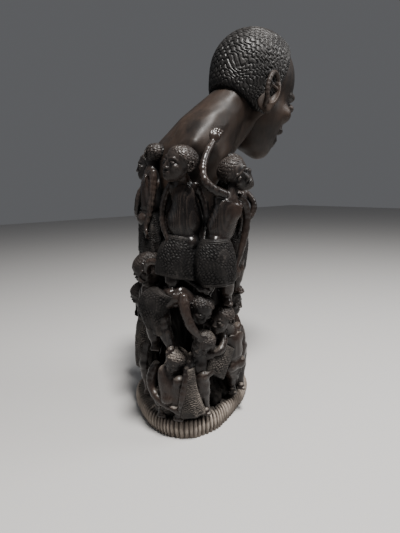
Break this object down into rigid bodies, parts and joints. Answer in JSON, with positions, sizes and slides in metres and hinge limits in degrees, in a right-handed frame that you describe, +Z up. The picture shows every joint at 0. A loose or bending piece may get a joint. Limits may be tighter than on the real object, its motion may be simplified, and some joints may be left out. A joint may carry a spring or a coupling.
{
  "type": "carved ancestor figure",
  "caption": "Blackwood family-tree carving: an elder's bowed head and shoulders rising from a tower of small clinging figures on an oval fluted plinth.",
  "frame": {"origin": "centre of the plinth's underside", "axes": "+Z up; the elder's face looks towards -Y and down; +X is to the elder's left"},
  "size_m": [0.1607, 0.1905, 0.3858],
  "materials": {
    "blackwood_polished": "hand-polished blackwood, waxed to a soft gloss",
    "blackwood_hair": "gouge-textured blackwood, matt",
    "blackwood_small_figures": "polished blackwood with dust in the cuts",
    "blackwood_small_heads": "polished blackwood with incised hair",
    "blackwood_cloth": "blackwood incised with a cloth pattern, matt",
    "blackwood_plinth": "gouge-fluted blackwood, worn and dusty",
    "blackwood_rough": "deep-cut blackwood left rough behind the figures"
  },
  "bodies": {
    "root": {"basket_carrier_body": "blackwood_small_figures", "basket_carrier_head": "blackwood_small_heads", "basket_carrier_wrap": "blackwood_cloth", "climbing_son_body": "blackwood_small_figures", "climbing_son_head": "blackwood_small_heads", "climbing_son_wrap": "blackwood_cloth", "crouching_youth_body": "blackwood_small_figures", "crouching_youth_head": "blackwood_small_heads", "crouching_youth_wrap": "blackwood_cloth", "drummer_body": "blackwood_small_figures", "drummer_head": "blackwood_small_heads", "drummer_wrap": "blackwood_cloth", "elder_ears": "blackwood_polished", "elder_hair_cap": "blackwood_hair", "elder_head": "blackwood_polished", "elder_neck_and_shoulders": "blackwood_polished", "fluted_plinth": "blackwood_plinth", "gazing_bearer_body": "blackwood_small_figures", "gazing_bearer_head": "blackwood_small_heads", "gazing_bearer_wrap": "blackwood_cloth", "heartwood_core": "blackwood_rough", "kneeling_woman_body": "blackwood_small_figures", "kneeling_woman_head": "blackwood_small_heads", "kneeling_woman_wrap": "blackwood_cloth", "leaning_carrier_body": "blackwood_small_figures", "leaning_carrier_head": "blackwood_small_heads", "leaning_carrier_wrap": "blackwood_cloth", "left_side_bearer_body": "blackwood_small_figures", "left_side_bearer_head": "blackwood_small_heads", "left_side_bearer_wrap": "blackwood_cloth", "praying_aunt_body": "blackwood_small_figures", "praying_aunt_head": "blackwood_small_heads", "praying_aunt_wrap": "blackwood_cloth", "reaching_bearer_body": "blackwood_small_figures", "reaching_bearer_head": "blackwood_small_heads", "reaching_bearer_wrap": "blackwood_cloth", "resting_uncle_body": "blackwood_small_figures", "resting_uncle_head": "blackwood_small_heads", "resting_uncle_wrap": "blackwood_cloth", "right_side_bearer_body": "blackwood_small_figures", "right_side_bearer_head": "blackwood_small_heads", "right_side_bearer_wrap": "blackwood_cloth", "seated_elder_body": "blackwood_small_figures", "seated_elder_head": "blackwood_small_heads", "seated_elder_wrap": "blackwood_cloth", "stooping_bearer_body": "blackwood_small_figures", "stooping_bearer_head": "blackwood_small_heads", "stooping_bearer_wrap": "blackwood_cloth", "stooping_daughter_body": "blackwood_small_figures", "stooping_daughter_head": "blackwood_small_heads", "stooping_daughter_wrap": "blackwood_cloth", "watching_mother_body": "blackwood_small_figures", "watching_mother_head": "blackwood_small_heads", "watching_mother_wrap": "blackwood_cloth", "water_bearer_body": "blackwood_small_figures", "water_bearer_head": "blackwood_small_heads", "water_bearer_wrap": "blackwood_cloth"}
  },
  "joints": []
}
